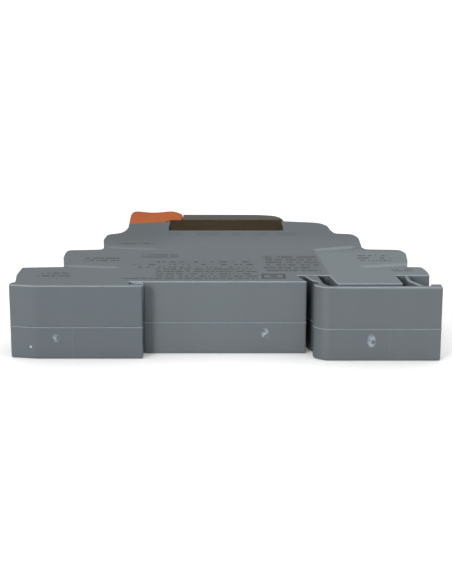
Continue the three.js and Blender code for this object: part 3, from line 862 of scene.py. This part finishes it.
GREY = (0.118, 0.137, 0.150)
lower_grey = module_grey(
    "lower_grey",
    GREY,
    gates=(GATE_LEFT, GATE_MIDDLE),
    dots=(HOOK_NICK,),
    seams=(-28.3, 3.9),
)
upper_grey = module_grey("upper_grey", GREY, printed=True)
# Painted shade: the latch uses a darker copy of the housing grey.
latch_grey = module_grey("latch_grey", scaled(GREY, 0.93), gates=(GATE_LATCH,), seams=(30.4,))
holder_grey = moulded_plastic("holder_grey", (0.064, 0.062, 0.054), 0.55, 0.08, shine=0.3)
lever_orange = moulded_plastic("lever_orange", (0.39, 0.086, 0.009), 0.5, 0.10, shine=0.2)
cover_brown = smoky_cover("cover_brown")
base_black = moulded_plastic("base_black", (0.018, 0.017, 0.016), 0.45, 0.15)
coil_cream = moulded_plastic("coil_cream", (0.66, 0.62, 0.50), 0.5)
label_white = moulded_plastic("label_white", (0.76, 0.76, 0.72), 0.55, 0.04)
zinc = drawn_metal("zinc", (0.66, 0.67, 0.68), 0.32)
iron = drawn_metal("iron", (0.50, 0.51, 0.53), 0.38, (12, 1, 1))
copper = drawn_metal("copper", (0.74, 0.40, 0.24), 0.3)
brass = drawn_metal("brass", (0.72, 0.55, 0.27), 0.28)
tin = drawn_metal("tin", (0.70, 0.70, 0.68), 0.3)
winding = wound_copper("winding")
board_green = board_lacquer("board_green")
led_lens = clear_plastic("led_lens", (0.85, 0.68, 0.20), 0.12)
guide_clear = clear_plastic("guide_clear", (0.90, 0.93, 0.94))
resistor_tan = banded_resistor("resistor_tan")

# ---------------------------------------------------------------- housing


def terminal_openings():
    """Screwdriver holes and funnelled wire entries of every terminal."""
    tools = []
    for _, x, bus, side, wall, depths in TERMINALS:
        wire_y = bus - WIRE_DROP
        outer = wall + side * 1.6
        inner = x + side * 1.5
        mouth = wall - side * 0.5
        for z in depths:
            tools.append(rod("Y", bus + 6.0, bus + 14.0, (x, z), HOLE_RADIUS))
            tools.append(rod("X", min(outer, inner), max(outer, inner), (wire_y, z), HOLE_RADIUS))
            if side > 0:
                tools.append(rod("X", mouth, outer, (wire_y, z), HOLE_RADIUS, FUNNEL_RADIUS))
            else:
                tools.append(rod("X", outer, mouth, (wire_y, z), FUNNEL_RADIUS, HOLE_RADIUS))
    return tools


def housing_openings():
    """Everything that is cut out of both shells."""
    tools = terminal_openings()

    # The lever's pocket, the holes for its trunnions and the slot for its toe.
    tools.append(block(-24.5, -13.9, 58.5, 76.0, 1.4, 12.6))
    tools.append(rod("Z", 0.5, 13.5, PIVOT, 1.28))
    tools.append(block(-14.2, -11.2, 59.0, 61.0, 4.7, 9.3))

    # Room for the relay: gaps at its flanks, pockets at its ends and holes for its pins.
    tools.append(block(FLANK[0], FLANK[1], 58.2, 61.2, -1, 0.65))
    tools.append(block(FLANK[0], FLANK[1], 58.2, 61.2, 13.35, 15))
    tools.append(block(-14.1, FLANK[0] + 0.1, DECK_Y, 75.0, 0.6, 13.4))
    tools.append(block(FLANK[1] - 0.1, RELAY_HIGH.x + 0.2, DECK_Y, 75.0, 0.6, 13.4))
    for x in PIN_X:
        for z in POLE_Z:
            tools.append(block(x - 0.5, x + 0.5, 59.0, 61.5, z - 0.8, z + 0.8))

    # The light guide's hole, the slot for the latch's tongue and the sloping steps.
    tools.append(rod("Y", 50.0, 56.0, (-24.4, MID_Z), 0.8))
    tools.append(block(21.8, 32.4, 2.5, 5.5, 4.8, 9.2))
    for step in FACE_STEPS:
        tools.append(wedge(*step, WIDTH, 1))
        tools.append(wedge(*step, 0, -1))
    return tools


def gate_mark(gate):
    """Ring-shaped scar of a moulding gate, with its pip, cut into a face that looks towards -Y."""
    centre, height, _ = gate
    profile = ((-0.1, 0.72), (0.10, 0.70), (0.10, 0.46), (0.02, 0.40), (0.02, 0.14), (0.06, 0))
    mark = lathe(profile, Vector(), "Y", "gate", 24)
    mark.data.transform(Matrix.Translation(centre) @ Matrix.Diagonal((1, 1, height, 1)))
    return mark


def flash_sections(after):
    """The wall's sections along the thin flash, and the section after it."""
    start, full, end = FLASH
    return [(start, SKIN), (full, 0), (end, 0), after]


def build_housing():
    sections = lower_rim(0, LOWER_RIM, SKIN) + flash_sections((SPLIT_Z, 0.03))
    lower = slab(HOUSING_OUTLINE, sections, "housing_lower_shell")
    cut(lower, [prism(HOUSING_CAVITY, SIDE_WALL, SPLIT_Z + 1)])
    cut(lower, housing_openings())
    cut(lower, [gate_mark(GATE_LEFT), gate_mark(GATE_MIDDLE)])
    placed(lower, "housing_lower_shell", "housing", lower_grey, "housing_lower")

    sections = [(SPLIT_Z, SKIN + 0.04), (SPLIT_Z + 0.05, SKIN)] + upper_rim(WIDTH, RIM, SKIN)
    upper = slab(HOUSING_OUTLINE, sections, "housing_upper_shell")
    cavity = prism(HOUSING_CAVITY, SPLIT_Z - 1, WIDTH - SIDE_WALL)
    cut(cavity, [block(0, 38.0, 12.5, 52.0, SPLIT_Z - 2, POLE_PLATE_TOP)])
    cut(upper, [cavity])
    cut(upper, housing_openings())
    placed(upper, "housing_upper_shell", "housing", upper_grey, "housing_upper")


def build_latch():
    flash = flash_sections((FLASH[-1] + 0.05, SKIN))
    sections = lower_rim(0, LOWER_RIM, SKIN) + flash + upper_rim(WIDTH, RIM, SKIN)
    latch = slab(LATCH_OUTLINE, sections, "latch", 8)
    tongue = block(22.2, 29.4, 1.0, 7.0, 5.0, 9.0)
    head = block(22.4, 29.3, 5.6, 7.0, 3.4, 10.6)
    add(latch, [tongue, head])
    cut(latch, [gate_mark(GATE_LATCH)])
    placed(latch, "rail_latch", "latch", latch_grey, "foot_latch")


# ---------------------------------------------------------------- lever, relay cover, marker


def build_lever():
    arm = (
        (-20.9, 61.0, 1.2),
        (-18.4, 59.6, 1.5),
        (-16.6, 60.0, 0.4),
        (-14.4, 63.4, 1.2),
        (-14.5, 76.4, 0),
        (-23.3, 76.4, 0),
        (-22.9, 71.0, 0.8),
        (-21.2, 64.0, 1.5),
    )
    grip = (
        (-14.4, 77.2, 0),
        (-11.3, 77.2, 0.5),
        (-10.65, 78.6, 0.6),
        (-10.65, 86.9, 2.4),
        (-13.4, 91.8, 2.2),
        (-18.0, 88.6, 3.0),
        (-23.4, 91.8, 2.6),
        (-23.75, 86.0, 2.0),
        (-23.1, 70.6, 0.4),
        (-14.4, 73.2, 0.3),
    )
    toe = (
        (-17.6, 59.9, 0),
        (-12.2, 59.7, 0.4),
        (-11.5, 60.8, 0.2),
        (-14.2, 60.7, 0.3),
        (-16.0, 62.0, 0),
        (-17.6, 62.0, 0),
    )
    lever = pillow(arm, 1.7, 12.3, 0.35, "lever", 8)
    add(lever, [pillow(grip, 0.9, 13.1, 0.32, "grip", 10), pillow(toe, 5.0, 9.0, 0.12)])
    add(lever, [rod("Z", 0.7, 13.3, PIVOT, 1.2)])
    placed(lever, "lever", "lever", lever_orange, "ejector_lever")


def build_relay_cover():
    low, high = RELAY_LOW, RELAY_HIGH
    corners = ((low.x, low.y, 0), (high.x, low.y, 0), (high.x, high.y, 0.9), (low.x, high.y, 0.9))
    cover = slab(corners, lower_rim(low.z, 0.5) + upper_rim(high.z, 0.5), "cover", 8)
    hollow = block(low.x + 0.8, high.x - 0.8, low.y - 1, high.y - 0.8, low.z + 0.8, high.z - 0.8)
    cut(cover, [hollow])
    placed(cover, "relay_case", "relay", cover_brown, "relay_cover")


def build_marker():
    profile = (
        (-10.5, 76.8, 0),
        (14.1, 76.8, 0.3),
        (13.6, 79.6, 0.8),
        (12.2, 82.4, 1.4),
        (8.2, 83.8, 1.6),
        (-10.5, 84.0, 0.1),
    )
    inside = (
        (-9.0, 76.0),
        (12.6, 76.0),
        (12.2, 78.4),
        (10.4, 81.6),
        (8.0, 82.6),
        (-9.0, 82.6),
    )
    holder = pillow(profile, 0.6, 13.4, 0.26, "holder", 8)
    cut(holder, [prism(inside, 1.6, 12.4), block(-7.1, 7.1, 83.4, 85.0, 2.9, 11.1)])
    placed(holder, "marker_clip", "relay", holder_grey, "marker_holder")


# ---------------------------------------------------------------- screws and winding


def build_screws():
    """Slotted screws with a chamfered head and a ridge for each turn of the thread."""
    for name, x, bus, _, _, depths in TERMINALS:
        for i, z in enumerate(depths):
            suffix = name + (f"_{i + 1}" if len(depths) > 1 else "")
            tip = bus + 0.9
            head = bus + 6.6
            profile = [(0, 0), (0, 0.78), (0.12, 0.86)]
            along = 0.25
            while along < head - tip - 0.4:
                profile += [(along, 0.84), (along + 0.22, THREAD_RADIUS), (along + 0.28, THREAD_RADIUS)]
                along += SCREW_PITCH
            shank = head - tip
            profile += [(shank, 0.9), (shank, 1.36), (shank + 0.14, HEAD_RADIUS)]
            profile += [(shank + 1.2, HEAD_RADIUS), (shank + 1.48, 1.3), (shank + 1.6, 0.9)]
            profile += [(shank + 1.6, 0)]
            screw = lathe(profile, Vector((x, tip, z)), "Y", "screw", 28)
            cut(screw, [block(x - 2, x + 2, head + 0.9, head + 2, z - 0.25, z + 0.25)])
            placed(screw, f"screw_{suffix}", f"screw_{suffix}", zinc, f"clamp_screw_{suffix}")


def build_winding():
    """Coil wound in close turns between the bobbin's flanges."""
    start, end = WINDING_ENDS
    pitch = (end - start) / WIRE_TURNS
    profile = [(0, 4.3)]
    for k in range(WIRE_TURNS):
        low = k * pitch
        profile += [(low + 0.02, 4.36), (low + 0.3 * pitch, 4.5), (low + 0.7 * pitch, 4.5)]
    profile += [(end - start, 4.3)]
    coil = lathe(profile, Vector((start, COIL_Y, MID_Z)), "X", "winding", 40)
    cut(coil, [rod("X", start - 1, end + 1, (COIL_Y, MID_Z), 2.6, sides=40)])
    placed(coil, "wound_coil", "relay", winding, "coil_winding")


# ---------------------------------------------------------------- carried-over CAD nodes


def keep(names, material):
    """Shows CAD nodes with a material, coplanar facets joined and edges rounded, all by modifiers."""
    for name in names:
        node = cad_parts[name]
        node.data.materials.clear()
        node.data.materials.append(material)
        planar = node.modifiers.new("flat faces", "DECIMATE")
        planar.decimate_type = "DISSOLVE"
        planar.angle_limit = math.radians(1)
        soften(node)


def dress_inner_nodes():
    nodes = list(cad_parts)
    keep([n for n in nodes if n.startswith("clamp_cage")], zinc)
    keep([n for n in nodes if n.startswith(("busbar", "coil_bar", "coil_fork"))], copper)
    keep([n for n in nodes if n.startswith(("contact_spring", "fixed_contact"))], brass)
    keep([n for n in nodes if n.startswith(("coil_pin", "common_pin"))], tin)
    keep(["coil_core", "coil_yoke", "armature"], iron)
    keep(["coil_bobbin", "contact_card"], coil_cream)
    keep(["relay_base", "flyback_diode", "bridge_rectifier"], base_black)
    keep(["circuit_board"], board_green)
    keep(["status_led"], led_lens)
    keep(["light_guide"], guide_clear)
    keep(["series_resistor"], resistor_tan)
    keep(["marker_strip"], label_white)


# ---------------------------------------------------------------- stage, light and camera


def build_stage():
    """A round white floor with a faint glow of its own."""
    bm = bmesh.new()
    bmesh.ops.create_circle(bm, cap_ends=True, segments=96, radius=FLOOR_RADIUS)
    mesh = bpy.data.meshes.new("floor")
    bm.to_mesh(mesh)
    bm.free()
    floor = bpy.data.objects.new("floor", mesh)
    bpy.context.scene.collection.objects.link(floor)
    floor.location = (0, 0.05, CAD_LOW.z - FLOOR_GAP)
    n = Nodes("studio_floor")
    n.link(n.ramp(n.noise(3, 2), 0.955, 0.965), n.shader.inputs["Base Color"])
    n.link(n.ramp(n.noise(40, 2), 0.85, 0.95), n.shader.inputs["Roughness"])
    n.shader.inputs["Specular IOR Level"].default_value = 0.1
    n.shader.inputs["Emission Color"].default_value = (1, 1, 1, 1)
    n.shader.inputs["Emission Strength"].default_value = 0.1
    mesh.materials.append(n.material)


def area_light(name, location, target, size, power):
    """A rectangular light at a place in metres, turned towards its target."""
    data = bpy.data.lights.new(name, "AREA")
    data.shape = "RECTANGLE"
    data.size, data.size_y = size
    data.energy = power
    lamp = bpy.data.objects.new(name, data)
    bpy.context.scene.collection.objects.link(lamp)
    lamp.location = location
    lamp.rotation_euler = (Vector(target) - Vector(location)).to_track_quat("-Z", "Y").to_euler()


def build_light():
    """A wide ceiling panel, a smaller key light from the front left, and a white surround."""
    world = bpy.data.worlds.new("studio")
    bpy.context.scene.world = world
    world.use_nodes = True
    tree = world.node_tree
    background = tree.nodes["Background"]
    background.inputs["Color"].default_value = (1.0, 1.0, 1.0, 1)
    seen = tree.nodes.new("ShaderNodeLightPath").outputs["Is Camera Ray"]
    level = tree.nodes.new("ShaderNodeMapRange")
    level.inputs["To Min"].default_value = SURROUND_LIGHT
    level.inputs["To Max"].default_value = SURROUND_SEEN
    tree.links.new(seen, level.inputs["Value"])
    tree.links.new(level.outputs["Result"], background.inputs["Strength"])
    area_light("ceiling", *CEILING_LIGHT)
    area_light("key", *KEY_LIGHT)


def build_camera():
    """A camera in front of the rail foot, looking slightly down."""
    data = bpy.data.cameras.new("camera")
    data.sensor_width = 36
    data.lens = CAMERA_LENS
    data.clip_start = 0.01
    camera = bpy.data.objects.new("camera", data)
    bpy.context.scene.collection.objects.link(camera)
    camera.location = TO_FRAME @ Vector(CAMERA_PLACE)
    camera.rotation_euler = (math.radians(90 - CAMERA_TILT), 0, 0)
    bpy.context.scene.camera = camera


build_housing()
build_latch()
build_lever()
build_relay_cover()
build_marker()
build_screws()
build_winding()
dress_inner_nodes()
build_stage()
build_light()
build_camera()
bpy.context.scene.view_settings.view_transform = "Standard"
